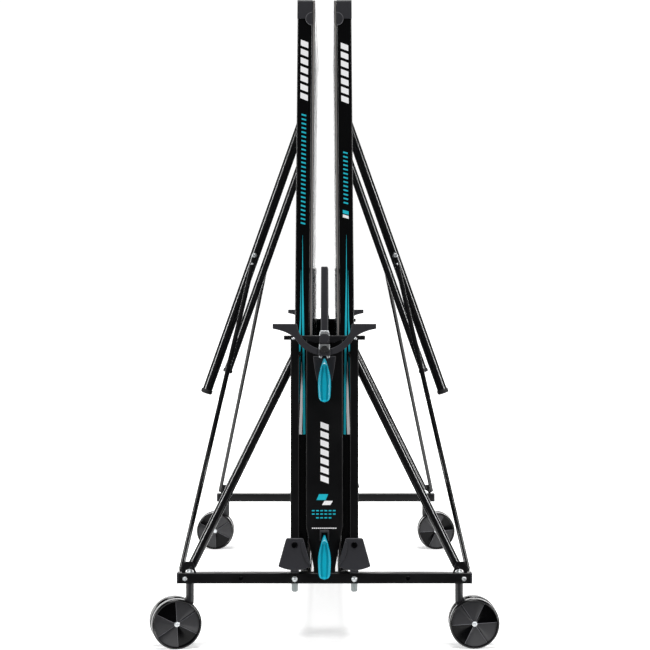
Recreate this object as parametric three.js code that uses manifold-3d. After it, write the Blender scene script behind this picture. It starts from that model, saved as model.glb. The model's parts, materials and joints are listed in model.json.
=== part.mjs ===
// Outdoor table-tennis table on a wheeled trolley, folded up for storage.
//
// Two half tables stand upright, playing surfaces facing each other across the net. Each hangs on two
// sliders that climb the square guide tubes of the trolley's end columns while the half swings down.
//
// Millimetres, +Z up. X runs along the length of the opened table, Y across it, and the origin lies on
// the floor under the middle of the trolley. The front column is at -Y, the rear column at +Y.

import * as THREE from 'three';
import * as BufferGeometryUtils from 'three/addons/utils/BufferGeometryUtils.js';
import Module from 'manifold-3d';

const wasm = await Module();
wasm.setup();

// ---------------------------------------------------------------- driving dimensions

const GAP = 0.3;                  // between two pieces that touch
const SHEET = 1.5;                // wall of the steel tubes and pressed profiles

// Half tables
const HALF_LENGTH = 1370;
const TABLE_WIDTH = 1525;
const PLAY_HEIGHT = 760;          // playing surface above the floor when open
const BOARD = 6;
const TABLE_DEPTH = 42;           // board and apron together
const APRON_WIDTH = 20;
const LEAN = THREE.MathUtils.degToRad(0.5);   // each folded half leans inwards

// Pivot of each half in its two sliders
const PIVOT_X = 71;
const PIVOT_Z = 248;              // folded
const PIVOT_ALONG = 68;           // from the half's net end
const PIVOT_DEPTH = 37;           // below the playing surface

// Trolley: two cross rails, joined by two beams under the half tables
const RAIL_Y = 790;
const RAIL_LENGTH = 705;
const RAIL_DEPTH = 30;
const RAIL_BOTTOM = 152.5;
const RAIL_TOP = 177.5;
const BEAM_X = 45;
const BEAM_SIZE = 25;

// End columns
const TUBE = 20;
const TUBE_Y = 795;
const TUBE_TOP = 733.7;
const COLUMN_TOP = 744;
const COVER_HALF = 42;            // flat middle of the cover
const COVER_EDGE = 44;            // where its bent flanges end
const COVER_FRONT = 803;          // its outer face, from the middle of the trolley
const COVER_SHEET = 2;

// Sliders
const SLIDER_FRONT = 815;
const SLIDER_BOTTOM = 194;
const SLIDER_TOP = 262;

// Net set
const BOW_Z = 778;                // centre of the bow's arc
const BOW_INNER = 65;
const BOW_OUTER = 80;
const BOW_BACK = 819;
const BOW_FRONT = 831;
const POST_TOP = 909;
const POST_WIDTH = 18;
const POST_BACK = 822;
const POST_FRONT = 836;
const NET_BOTTOM = 757;
const NET_TOP = 906;
const NET_THICKNESS = 1.6;

// Legs
const LEG_Y = 490;
const LEG_RADIUS = 12.5;
const LEG_ALONG = 1087;           // leg hinge, from the half's net end
const LEG_DEPTH = 37;
const LEG_LENGTH = 722;           // hinge to the underside of the foot
const LEG_HANG = THREE.MathUtils.degToRad(19.5);   // out of the vertical, folded
const LEG_BOLT = 349.5;           // hinge to the bolt of the link rod
const SHAFT_RADIUS = 8;
const CHEEK_Y = 460;              // cheeks of the stretcher that hold the leg shaft

// Rocker arms, from the rail ends to the side aprons
const ARM_RADIUS = 10.75;
const ARM_Y = 774;
const ARM_ALONG = 527;
const ARM_DEPTH = 34;
const ARM_FOOT_Z = 190;

// Link rods, from the rail ends to the legs
const ROD_RADIUS = 6;
const ROD_FOOT_Y = 790;
const ROD_FOOT_Z = 184.5;
const ROD_LEG_Y = 510;

// Levers
const LEVER_LENGTH = 104;
const LEVER_TOPS = { upper: 691.3, lower: 270 };
const LEVER_BACK = 816;
const LEVER_FRONT = 826;

// Casters
const CASTER_X = 322;
const TRAIL = 35;
const WHEEL_RADIUS = 59.5;
const WHEEL_HALF = 34;            // half of the overall width of the twin wheels
const WHEEL_INNER = 9;            // half of the gap between them
const FORK_HALF = 7;
const AXLE_RADIUS = 5;
const STEM_RADIUS = 9.5;
const FRONT_LEFT_SWIVEL = THREE.MathUtils.degToRad(12);

// ---------------------------------------------------------------- materials

function finish(color, roughness, metalness) {
  return () => new THREE.MeshStandardMaterial({ color, roughness, metalness });
}

const powderCoat = finish('#16161a', 0.45, 0.3);
const apronCoat = finish('#0c0c0f', 0.4, 0.2);
const playingSurface = finish('#3c434b', 0.7, 0);
const darkPlastic = finish('#2a2a30', 0.5, 0);
const glossyPlastic = finish('#1b1b1e', 0.25, 0);
const tealPlastic = finish('#00a6bd', 0.35, 0);
const zinc = finish('#c9ced1', 0.35, 0.9);
const netting = finish('#1c1c20', 0.9, 0);

// ---------------------------------------------------------------- making solids

const object = new THREE.Group();

// A named mesh in a parent group.
function piece(name, geometry, material, parent = object) {
  const mesh = new THREE.Mesh(geometry, material());
  mesh.name = name;
  parent.add(mesh);
  return mesh;
}

// A box from its lowest and highest corners.
function block(low, high) {
  const size = high.map((value, i) => value - low[i]);
  const geometry = new THREE.BoxGeometry(...size);
  return geometry.translate(...low.map((value, i) => value + size[i] / 2));
}

// An outline in X and Z, carried along Y between two planes.
function plate(shape, y0, y1, curveSegments = 8) {
  const depth = Math.abs(y1 - y0);
  const geometry = new THREE.ExtrudeGeometry(shape, { depth, bevelEnabled: false, curveSegments });
  return geometry.rotateX(Math.PI / 2).translate(0, Math.max(y0, y1), 0);
}

function polygon(points) {
  return new THREE.Shape(points.map(([x, z]) => new THREE.Vector2(x, z)));
}

// A square-cornered tube, width along local X and height along local Y, running along local Z.
function boxTube(width, height, length) {
  const ring = (w, h) => [[-w, -h], [w, -h], [w, h], [-w, h]];
  const shape = polygon(ring(width / 2, height / 2));
  shape.holes.push(polygon(ring(width / 2 - SHEET, height / 2 - SHEET)));
  return new THREE.ExtrudeGeometry(shape, { depth: length, bevelEnabled: false });
}

// A round tube, open at both ends, from one point to another.
function roundTube(radius, from, to, segments = 16) {
  const start = new THREE.Vector3(...from);
  const run = new THREE.Vector3(...to).sub(start);
  const length = run.length();
  const bore = radius - SHEET;
  const geometry = turned([[radius, 0], [radius, length], [bore, length], [bore, 0], [radius, 0]], segments);
  const turn = new THREE.Quaternion().setFromUnitVectors(new THREE.Vector3(0, 1, 0), run.normalize());
  return geometry.applyQuaternion(turn).translate(...from);
}

// A profile of [radius, height] points turned round local Y.
function turned(profile, segments = 24) {
  return new THREE.LatheGeometry(profile.map(([r, h]) => new THREE.Vector2(r, h)), segments);
}

function solid(geometry) {
  const bare = geometry.clone();
  bare.deleteAttribute('normal');
  bare.deleteAttribute('uv');
  const merged = BufferGeometryUtils.mergeVertices(bare, 1e-4);
  return new wasm.Manifold(new wasm.Mesh({
    numProp: 3,
    vertProperties: merged.attributes.position.array,
    triVerts: Uint32Array.from(merged.index.array),
  }));
}

// The first solid with others joined to it and more cut from it.
function joined(base, adds, cuts = []) {
  let result = solid(base);
  for (const add of adds) result = result.add(solid(add));
  for (const cut of cuts) result = result.subtract(solid(cut));
  const mesh = result.getMesh();
  const geometry = new THREE.BufferGeometry();
  geometry.setAttribute('position', new THREE.BufferAttribute(mesh.vertProperties, 3));
  geometry.setIndex(new THREE.BufferAttribute(mesh.triVerts, 1));
  return geometry;
}

// ---------------------------------------------------------------- where the linkage lies

// A point of a half table, folded, as [distance from the middle, height].
function folded(along, depth) {
  const u = along - PIVOT_ALONG;
  const d = depth - PIVOT_DEPTH;
  return [
    PIVOT_X - u * Math.sin(LEAN) + d * Math.cos(LEAN),
    PIVOT_Z + u * Math.cos(LEAN) + d * Math.sin(LEAN),
  ];
}

// The same point with the table open.
function opened(along, depth) {
  return [PIVOT_X + along - PIVOT_ALONG, PLAY_HEIGHT - depth];
}

// Where at height z a bar can pivot, to reach one end point folded and the other opened.
function barFoot([x0, z0], [x1, z1], z) {
  return (x0 * x0 + z0 * z0 - x1 * x1 - z1 * z1 - 2 * z * (z0 - z1)) / (2 * (x0 - x1));
}

const armTop = folded(ARM_ALONG, ARM_DEPTH);
const armFootX = barFoot(armTop, opened(ARM_ALONG, ARM_DEPTH), ARM_FOOT_Z);
const legHinge = folded(LEG_ALONG, LEG_DEPTH);
const legHingeOpen = opened(LEG_ALONG, LEG_DEPTH);
const onLeg = (distance) => [
  legHinge[0] + distance * Math.sin(LEG_HANG),
  legHinge[1] - distance * Math.cos(LEG_HANG),
];
const rodTop = onLeg(LEG_BOLT);
const rodFootX = barFoot(rodTop, [legHingeOpen[0], legHingeOpen[1] - LEG_BOLT], ROD_FOOT_Z);

const SIDES = { left: -1, right: 1 };
const ENDS = { front: -1, rear: 1 };

// ---------------------------------------------------------------- trolley

// A cross rail with a bent bracket on each end, whose cheeks hold the arm and the rod.
function rail(end) {
  const tube = boxTube(RAIL_DEPTH, RAIL_TOP - RAIL_BOTTOM, RAIL_LENGTH)
    .rotateX(Math.PI / 2).rotateZ(Math.PI / 2)
    .translate(-RAIL_LENGTH / 2, end * RAIL_Y, (RAIL_BOTTOM + RAIL_TOP) / 2);
  const adds = [];
  for (const side of Object.values(SIDES)) {
    const cheek = polygon([
      [side * 300, RAIL_TOP - 1], [side * 352, RAIL_TOP - 1], [side * 352, RAIL_TOP + 8],
      [side * 340, RAIL_TOP + 27], [side * 312, RAIL_TOP + 27],
    ]);
    adds.push(plate(cheek, end * 797.5, end * 800.5));
  }
  return joined(tube, adds);
}

// The pressed cover between the guide tubes, with the plate that ties the tube tops together, the wedge
// that carries the upper lever and the small socket of the lower one. It stops short of the tubes.
function cover(end) {
  const back = end * (COVER_FRONT - 12);
  const front = end * COVER_FRONT;
  const inner = end * (COVER_FRONT - COVER_SHEET);
  const insideHalf = COVER_HALF - COVER_SHEET + 0.3;
  const insideEdge = COVER_EDGE - COVER_SHEET;
  const outline = [
    [-COVER_EDGE, back], [-COVER_HALF, front], [COVER_HALF, front], [COVER_EDGE, back],
    [insideEdge, back], [insideHalf, inner], [-insideHalf, inner], [-insideEdge, back],
  ];
  const bottom = RAIL_TOP + GAP;
  const pressing = new THREE.ExtrudeGeometry(polygon(outline), {
    depth: COLUMN_TOP - bottom, bevelEnabled: false,
  }).translate(0, 0, bottom);
  const tie = block(
    [-97, Math.min(end * 786, end * (COVER_FRONT - 0.5)), TUBE_TOP + GAP],
    [97, Math.max(end * 786, end * (COVER_FRONT - 0.5)), COLUMN_TOP],
  );
  const wedge = plate(polygon([
    [-27.5, 695.5], [27.5, 695.5], [24, 668], [18, 636], [-18, 636], [-24, 668],
  ]), end * (COVER_FRONT - 1), end * (LEVER_BACK - 1));
  const socket = plate(polygon([
    [-11, 282], [11, 282], [11, 256], [-11, 256],
  ]), end * (COVER_FRONT - 1), end * (LEVER_BACK - 1));
  const cuts = Object.values(SIDES).map((side) => plate(polygon([
    [side * 26, bottom - 1], [side * 26, bottom + 14], [side * 44, 290], [side * 70, 290],
    [side * 70, bottom - 1],
  ]), end * 780, end * 810));
  return joined(pressing, [tie, wedge, socket], cuts);
}

// The bow that carries the net: a U-shaped arc with two flat arms, a block in the middle of the arc and
// the bracket that hangs it on the column.
function netBow(end) {
  const armTopZ = BOW_Z - 5;
  const armTip = 123;
  const innerAngle = Math.asin((armTopZ - BOW_Z) / BOW_INNER);
  const outerAngle = -0.5;
  const shape = new THREE.Shape();
  shape.moveTo(BOW_INNER * Math.cos(innerAngle), armTopZ);
  shape.lineTo(armTip, armTopZ);
  shape.lineTo(armTip, armTopZ - 11.7);
  shape.quadraticCurveTo(
    90, armTopZ - 17,
    BOW_OUTER * Math.cos(outerAngle), BOW_Z + BOW_OUTER * Math.sin(outerAngle),
  );
  shape.absarc(0, BOW_Z, BOW_OUTER, outerAngle, -Math.PI - outerAngle, true);
  shape.quadraticCurveTo(-90, armTopZ - 17, -armTip, armTopZ - 11.7);
  shape.lineTo(-armTip, armTopZ);
  shape.lineTo(-BOW_INNER * Math.cos(innerAngle), armTopZ);
  shape.absarc(0, BOW_Z, BOW_INNER, -Math.PI - innerAngle, innerAngle, false);
  const arc = plate(shape, end * BOW_BACK, end * BOW_FRONT, 20);
  const middle = plate(polygon([
    [-15, 696], [15, 696], [15, 711], [-15, 711],
  ]), end * (COVER_FRONT + GAP), end * (BOW_FRONT + 1));
  const hanger = plate(polygon([
    [-52, COLUMN_TOP], [-52, 739], [-22, 727], [22, 727], [52, 739], [52, COLUMN_TOP],
  ]), end * (COVER_FRONT + GAP), end * 806);
  const socket = plate(polygon([
    [-12, 725.5], [12, 725.5], [12, COLUMN_TOP], [-12, COLUMN_TOP],
  ]), end * (COVER_FRONT + 1), end * (POST_FRONT + 0.5));
  const web = plate(polygon([
    [-10, 700], [10, 700], [10, 740], [-10, 740],
  ]), end * (COVER_FRONT + GAP), end * (BOW_BACK - 3));
  return joined(arc, [middle, hanger, socket, web]);
}

for (const [endName, end] of Object.entries(ENDS)) {
  piece(`cross_rail_${endName}`, rail(end), powderCoat);
  for (const [sideName, side] of Object.entries(SIDES)) {
    const tube = boxTube(TUBE, TUBE, TUBE_TOP - RAIL_TOP - GAP);
    piece(`guide_tube_${endName}_${sideName}`, tube, powderCoat)
      .position.set(side * PIVOT_X, end * TUBE_Y, RAIL_TOP + GAP);
  }
  piece(`column_cover_${endName}`, cover(end), powderCoat);
  piece(`net_bow_${endName}`, netBow(end), darkPlastic);
  const nearY = Math.min(end * POST_BACK, end * POST_FRONT);
  const farY = Math.max(end * POST_BACK, end * POST_FRONT);
  const post = block([-POST_WIDTH / 2, nearY, COLUMN_TOP + GAP], [POST_WIDTH / 2, farY, POST_TOP]);
  piece(`net_post_${endName}`, post, darkPlastic);
  const clamp = block([-13, nearY, 715], [13, farY, 725.5 - GAP]);
  piece(`net_clamp_${endName}`, clamp, zinc);
}

for (const [sideName, side] of Object.entries(SIDES)) {
  const run = 2 * (RAIL_Y - RAIL_DEPTH / 2 - GAP);
  const beam = boxTube(BEAM_SIZE, BEAM_SIZE, run).rotateX(-Math.PI / 2);
  piece(`floor_beam_${sideName}`, beam, powderCoat)
    .position.set(side * BEAM_X, -run / 2, RAIL_TOP - BEAM_SIZE / 2);
}

piece('net', block(
  [-NET_THICKNESS / 2, GAP - POST_BACK, NET_BOTTOM],
  [NET_THICKNESS / 2, POST_BACK - GAP, NET_TOP],
), netting);

// ---------------------------------------------------------------- sliders

// A shoe that clasps the guide tube from the front, the outer side and the back, with the pivot boss of
// the half table standing inwards.
function slider(side, end) {
  const x = (distance) => side * (PIVOT_X + distance);
  const clear = TUBE / 2 + 0.4;
  const shape = new THREE.Shape();
  shape.moveTo(x(-18), SLIDER_TOP);
  shape.lineTo(x(18), SLIDER_TOP);
  shape.quadraticCurveTo(x(20.5), SLIDER_TOP, x(21.5), SLIDER_TOP - 4);
  shape.lineTo(x(39), SLIDER_BOTTOM);
  shape.quadraticCurveTo(x(0), SLIDER_BOTTOM - 17, x(-39), SLIDER_BOTTOM);
  shape.lineTo(x(-21.5), SLIDER_TOP - 4);
  shape.quadraticCurveTo(x(-20.5), SLIDER_TOP, x(-18), SLIDER_TOP);
  const front = plate(shape, end * (TUBE_Y + clear), end * SLIDER_FRONT, 6);
  const low = RAIL_TOP + GAP + 0.5;
  const high = PIVOT_Z + 5;
  const wallFar = clear + 4.5;
  const range = (a, b) => [Math.min(a, b), Math.max(a, b)];
  const box = (dx0, dx1, dy0, dy1, z0, z1) => {
    const [x0, x1] = range(x(dx0), x(dx1));
    const [y0, y1] = range(end * (TUBE_Y + dy0), end * (TUBE_Y + dy1));
    return block([x0, y0, z0], [x1, y1, z1]);
  };
  const outerWall = box(clear, wallFar, -wallFar, clear + 1, low + 8, high);
  const backWall = box(-clear, wallFar, -wallFar, -clear, low + 8, high);
  const collar = box(-9, 9, clear, clear + 4, low, SLIDER_BOTTOM);
  const bossEnd = TABLE_WIDTH / 2 + 0.8;
  const bossStart = TUBE_Y - wallFar + 1;
  const boss = turned([[0, 0], [9, 0], [9, bossStart - bossEnd], [0, bossStart - bossEnd]])
    .translate(x(0), 0, 0);
  const bossAt = end > 0 ? bossEnd : -bossStart;
  boss.translate(0, bossAt, PIVOT_Z);
  return joined(front, [outerWall, backWall, collar, boss]);
}

for (const [sideName, side] of Object.entries(SIDES)) {
  for (const [endName, end] of Object.entries(ENDS)) {
    piece(`slider_${endName}_${sideName}`, slider(side, end), darkPlastic);
  }
}

// ---------------------------------------------------------------- half tables

// A pressed C profile: depth along local X, width along local Y, open towards local -Y, running along
// local Z.
function channel(depth, width, length) {
  const outline = [
    [0, 0], [depth, 0], [depth, -width], [depth - SHEET, -width], [depth - SHEET, -SHEET],
    [SHEET, -SHEET], [SHEET, -width], [0, -width],
  ];
  return new THREE.ExtrudeGeometry(polygon(outline), { depth: length, bevelEnabled: false });
}

// The channel across the underside of a half table, with the two cheeks that hold the leg shaft.
function stretcher() {
  const half = TABLE_WIDTH / 2 - APRON_WIDTH - GAP;
  const base = BOARD + GAP;
  const deep = 20;
  const wide = 12;                // half of the channel's width
  const wall = 2;
  const bar = block([base, -half, LEG_ALONG - wide], [deep, half, LEG_ALONG + wide]);
  const groove = block(
    [base - 1, -half - 1, LEG_ALONG - wide + wall],
    [deep - wall, half + 1, LEG_ALONG + wide - wall],
  );
  const adds = [];
  const cuts = [groove];
  for (const end of Object.values(ENDS)) {
    const chamfer = wide / 2;
    const cheek = polygon([
      [deep - 1, LEG_ALONG - wide], [LEG_DEPTH + chamfer, LEG_ALONG - wide],
      [LEG_DEPTH + wide, LEG_ALONG - chamfer], [LEG_DEPTH + wide, LEG_ALONG + chamfer],
      [LEG_DEPTH + chamfer, LEG_ALONG + wide], [deep - 1, LEG_ALONG + wide],
    ]);
    adds.push(plate(cheek, end * (CHEEK_Y - 2), end * (CHEEK_Y + 2)));
    const hole = SHAFT_RADIUS + 0.6;
    cuts.push(turned([[0, 0], [hole, 0], [hole, 12], [0, 12]], 16)
      .translate(LEG_DEPTH, end * CHEEK_Y - 6, LEG_ALONG));
  }
  return joined(bar, adds, cuts);
}

for (const [sideName, side] of Object.entries(SIDES)) {
  // Local X is depth below the playing surface, Y runs across the table, and Z runs from the net end.
  const half = new THREE.Group();
  const [x, z] = folded(0, 0);
  half.position.set(side * x, 0, z);
  half.rotation.y = -side * LEAN;
  object.add(half);
  const facing = (geometry) => (side > 0 ? geometry : geometry.rotateZ(Math.PI));

  const edge = TABLE_WIDTH / 2;
  const board = block([0, -edge, 0], [BOARD, edge, HALF_LENGTH]);
  piece(`board_${sideName}`, facing(board), playingSurface, half);

  const base = BOARD + GAP;
  const depth = TABLE_DEPTH - base;
  for (const [endName, end] of Object.entries(ENDS)) {
    const apron = channel(depth, APRON_WIDTH, HALF_LENGTH);
    const outwards = end * side > 0 ? apron.translate(base, edge, 0)
      : apron.rotateX(Math.PI).translate(base, -edge, HALF_LENGTH);
    piece(`side_apron_${endName}_${sideName}`, facing(outwards), apronCoat, half);
  }
  const span = TABLE_WIDTH - 2 * (APRON_WIDTH + GAP);
  for (const [where, along] of [['net', 0], ['outer', HALF_LENGTH]]) {
    const apron = channel(depth, APRON_WIDTH, span);
    const turn = along === 0 ? Math.PI / 2 : -Math.PI / 2;
    apron.translate(base, 0, -span / 2).rotateX(-turn).translate(0, 0, along);
    piece(`${where}_end_apron_${sideName}`, facing(apron), apronCoat, half);
  }
  piece(`leg_stretcher_${sideName}`, facing(stretcher()), powderCoat, half);
}

// ---------------------------------------------------------------- legs, arms and rods

// A leg tube, open at the hinge end, with its levelling foot.
function leg() {
  const r = LEG_RADIUS;
  const top = LEG_LENGTH + 9;
  return turned([
    [0, 0], [14, 0], [17, 3], [17, 9], [8, 13], [8, 26], [r, 26], [r, top], [r - SHEET, top],
    [r - SHEET, 40], [0, 40],
  ], 16);
}

for (const [sideName, side] of Object.entries(SIDES)) {
  const [hingeX, hingeZ] = legHinge;
  for (const [endName, end] of Object.entries(ENDS)) {
    const legs = new THREE.Group();
    legs.position.set(side * hingeX, end * LEG_Y, hingeZ);
    legs.rotation.y = -side * LEG_HANG;
    object.add(legs);
    piece(`leg_${endName}_${sideName}`, leg().rotateX(Math.PI / 2).translate(0, 0, -LEG_LENGTH),
      powderCoat, legs);
    piece(`rocker_arm_${endName}_${sideName}`, roundTube(
      ARM_RADIUS,
      [side * armFootX, end * ARM_Y, ARM_FOOT_Z],
      [side * armTop[0], end * ARM_Y, armTop[1]],
    ), powderCoat);
    piece(`link_rod_${endName}_${sideName}`, roundTube(
      ROD_RADIUS,
      [side * rodFootX, end * ROD_FOOT_Y, ROD_FOOT_Z],
      [side * rodTop[0], end * ROD_LEG_Y, rodTop[1]],
      12,
    ), powderCoat);
  }
  const reach = LEG_Y - LEG_RADIUS - GAP;
  piece(`leg_shaft_${sideName}`, roundTube(
    SHAFT_RADIUS,
    [side * hingeX, -reach, hingeZ],
    [side * hingeX, reach, hingeZ],
  ), powderCoat);
}

// ---------------------------------------------------------------- levers

// A drop-shaped lever that hangs from its narrow end.
function lever(top, end) {
  const low = top - LEVER_LENGTH;
  const shape = new THREE.Shape();
  shape.moveTo(-2, top);
  shape.lineTo(2, top);
  shape.bezierCurveTo(6, top - 14, 12, top - 26, 13.5, top - 42);
  shape.bezierCurveTo(15.6, top - 60, 16, low + 30, 13, low + 8);
  shape.bezierCurveTo(12, low + 2, 7, low, 4, low);
  shape.lineTo(-4, low);
  shape.bezierCurveTo(-7, low, -12, low + 2, -13, low + 8);
  shape.bezierCurveTo(-16, low + 30, -15.6, top - 60, -13.5, top - 42);
  shape.bezierCurveTo(-12, top - 26, -6, top - 14, -2, top);
  return plate(shape, end * LEVER_BACK, end * LEVER_FRONT, 5);
}

for (const [endName, end] of Object.entries(ENDS)) {
  for (const [place, top] of Object.entries(LEVER_TOPS)) {
    piece(`${place}_lever_${endName}`, lever(top, end), tealPlastic);
  }
}

// ---------------------------------------------------------------- casters

// Twin wheels on their axle, turned round local Y.
function wheelPair() {
  const half = [
    [0, WHEEL_HALF - 3], [9, WHEEL_HALF - 1], [51, WHEEL_HALF - 3], [55, WHEEL_HALF],
    [WHEEL_RADIUS - 1.5, WHEEL_HALF - 1], [WHEEL_RADIUS, WHEEL_HALF - 5], [WHEEL_RADIUS, WHEEL_INNER + 4],
    [WHEEL_RADIUS - 3, WHEEL_INNER], [AXLE_RADIUS, WHEEL_INNER],
  ];
  const mirrored = half.map(([r, h]) => [r, -h]);
  return turned([...mirrored, ...half.reverse()], 32);
}

// The stem and the web between the two wheels, with a clearance hole for the axle.
function fork() {
  const stemBottom = 116;
  const stemTop = RAIL_BOTTOM - GAP;
  const stem = turned([
    [0, stemBottom], [STEM_RADIUS, stemBottom], [STEM_RADIUS, 124.5], [STEM_RADIUS - 1, 125],
    [STEM_RADIUS, 125.5], [STEM_RADIUS, stemTop], [0, stemTop],
  ], 20).rotateX(Math.PI / 2);
  const web = new THREE.Shape();
  web.moveTo(-8.5, stemBottom + 2);
  web.lineTo(8.5, stemBottom + 2);
  web.lineTo(TRAIL - 6, 106);
  web.quadraticCurveTo(TRAIL + 22, 94, TRAIL + 18, WHEEL_RADIUS);
  web.absarc(TRAIL, WHEEL_RADIUS, 18, 0, -Math.PI, true);
  web.lineTo(TRAIL - 18, 80);
  web.lineTo(-8.5, 104);
  const hole = turned([[0, -20], [AXLE_RADIUS + 0.6, -20], [AXLE_RADIUS + 0.6, 20], [0, 20]], 16)
    .translate(TRAIL, 0, WHEEL_RADIUS);
  return joined(plate(web, -FORK_HALF, FORK_HALF, 6), [stem], [hole]);
}

for (const [endName, end] of Object.entries(ENDS)) {
  for (const [sideName, side] of Object.entries(SIDES)) {
    // Local X points the way the wheels trail.
    const caster = new THREE.Group();
    caster.position.set(side * CASTER_X, end * RAIL_Y, 0);
    caster.rotation.z = side > 0 ? 0 : Math.PI;
    if (end < 0 && side < 0) caster.rotation.z += FRONT_LEFT_SWIVEL;
    object.add(caster);
    piece(`caster_fork_${endName}_${sideName}`, fork(), glossyPlastic, caster);
    piece(`twin_wheels_${endName}_${sideName}`, wheelPair(), glossyPlastic, caster)
      .position.set(TRAIL, 0, WHEEL_RADIUS);
  }
}

export default object;
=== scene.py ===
# %% [markdown]
# # A folded table-tennis table on its trolley
#
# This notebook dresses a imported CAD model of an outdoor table-tennis table. Both halves stand upright on
# a wheeled trolley, with the net between them. The CAD part says where everything is and how it moves.
# Here each bare solid is given a finer surface, a real finish and its small fittings.
#
# Lengths are written in millimetres and turned into metres in one place, when a mesh is made.

# %% Load the frame
import json
import math

import bmesh
import bpy
import numpy as np
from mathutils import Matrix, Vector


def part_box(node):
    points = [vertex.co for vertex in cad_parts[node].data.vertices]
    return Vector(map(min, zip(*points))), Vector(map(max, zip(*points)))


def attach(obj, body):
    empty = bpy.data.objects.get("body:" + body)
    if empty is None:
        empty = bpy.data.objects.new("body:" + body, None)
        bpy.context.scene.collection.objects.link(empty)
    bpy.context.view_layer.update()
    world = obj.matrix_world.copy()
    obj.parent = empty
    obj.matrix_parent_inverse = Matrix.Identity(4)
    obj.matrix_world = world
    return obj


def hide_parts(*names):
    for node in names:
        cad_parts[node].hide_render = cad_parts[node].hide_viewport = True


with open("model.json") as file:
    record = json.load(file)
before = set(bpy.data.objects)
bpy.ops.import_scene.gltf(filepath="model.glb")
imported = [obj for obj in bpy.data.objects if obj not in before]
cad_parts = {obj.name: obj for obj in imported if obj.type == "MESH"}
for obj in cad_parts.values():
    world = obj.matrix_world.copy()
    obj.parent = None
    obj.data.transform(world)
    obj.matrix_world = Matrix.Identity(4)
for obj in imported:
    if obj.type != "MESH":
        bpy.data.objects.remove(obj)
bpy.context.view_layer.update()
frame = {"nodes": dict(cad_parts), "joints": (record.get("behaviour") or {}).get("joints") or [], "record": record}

MM = 0.001
SIDES = {"left": -1, "right": 1}
ENDS = {"front": -1, "rear": 1}
QUARTERS = [(f"{end_name}_{side_name}", end, side, side_name)
            for end_name, end in ENDS.items() for side_name, side in SIDES.items()]

# %% [markdown]
# ## Reading the frame
#
# Every place comes from the CAD nodes. A box gives the size of an upright piece. A tube that leans has no
# useful box, so its middle line is found from its corners.

# %% Measure the nodes


def box(node):
    """Lowest and highest corner of a node, in millimetres."""
    low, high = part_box(node)
    return np.array(low) / MM, np.array(high) / MM


def corners(node):
    """Every corner of a node as rows of x, y and z, in millimetres."""
    mesh = frame["nodes"][node].data
    flat = np.empty(len(mesh.vertices) * 3, np.float32)
    mesh.vertices.foreach_get("co", flat)
    return np.unique((flat.reshape(-1, 3) / MM).round(2), axis=0)


def unit(vector):
    """The vector divided by its length."""
    return np.asarray(vector, float) / np.linalg.norm(vector)


def middle_line(node):
    """Lower and upper end of a tube's axis. The first singular vector of the centred corners is the
    direction in which they spread most, and the axis lies halfway between the extremes across it."""
    points = corners(node)
    directions = np.linalg.svd(points - points.mean(axis=0), full_matrices=False)[2]
    directions[0] *= np.sign(directions[0, 2])
    spread = points @ directions.T
    low, high = spread.min(axis=0), spread.max(axis=0)
    centre = (low + high) / 2
    start = directions.T @ [low[0], centre[1], centre[2]]
    stop = directions.T @ [high[0], centre[1], centre[2]]
    return start, stop


def half_base(side_name):
    """A half table's own base: the point where its playing surface meets its net end, and the directions
    along it, down from the playing surface and across it."""
    side = SIDES[side_name]
    points = corners(f"board_{side_name}")
    upper = points[:, 2] > points[:, 2].mean()
    along = unit(points[upper].mean(axis=0) - points[~upper].mean(axis=0))
    depth = side * np.array([along[2], 0, -along[0]])
    origin = along * (points @ along).min() + depth * (points @ depth).min()
    return origin, np.array([along, depth, [0, 1, 0]])


joints = {joint["name"]: joint for joint in frame["joints"]}


def joint_place(name):
    """The place of a joint, in millimetres."""
    return np.array(joints[name]["pos_m"]) / MM


UPRIGHT = (np.zeros(3), np.eye(3))
HALVES = {name: half_base(name) for name in SIDES}
PIVOT = joint_place("fold_right")
RAIL_LOW, RAIL_HIGH = box("cross_rail_rear")
RAIL_Y = (RAIL_LOW[1] + RAIL_HIGH[1]) / 2
TUBE_LOW, TUBE_HIGH = box("guide_tube_rear_right")
RAIL_TOP = TUBE_LOW[2] - 0.3
HALF_LENGTH = np.ptp(corners("board_right") @ HALVES["right"][1][0])
EDGE = box("board_right")[1][1]
print(f"pivot {PIVOT.round(1)}, rail top {RAIL_TOP:.1f}, half table {HALF_LENGTH:.0f} by {2 * EDGE:.0f} mm")

# %% [markdown]
# ## The camera and the light
#
# The table is seen from its front end, level with the net, from five metres away through a long lens. The
# light comes from above and from two tall lamps at the sides. The room is dark in front, so black paint
# stays black, and every tube carries a thin bright line along each flank.

# %% Camera and lamps
CAMERA_PLACE = (0.0118, -5.236, 0.897)
LENS = 102.9
FRAME_SHIFT = (-0.0068, -0.0822)

camera = bpy.data.objects.new("camera", bpy.data.cameras.new("camera"))
camera.location = CAMERA_PLACE
camera.rotation_euler = (math.radians(90), 0, 0)
camera.data.lens = LENS
camera.data.sensor_width = 36
camera.data.shift_x, camera.data.shift_y = FRAME_SHIFT
bpy.context.scene.collection.objects.link(camera)
bpy.context.scene.camera = camera
bpy.context.scene.view_settings.view_transform = "Standard"


def add_lamp(name, kind, place, target, **settings):
    """A lamp at a place, turned so that it shines on a target."""
    lamp = bpy.data.objects.new(name, bpy.data.lights.new(name, kind))
    for setting, value in settings.items():
        setattr(lamp.data, setting, value)
    away = Vector(place) - Vector(target)
    lamp.location = place
    lamp.rotation_euler = away.to_track_quat("Z", "Y").to_euler()
    bpy.context.scene.collection.objects.link(lamp)


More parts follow.
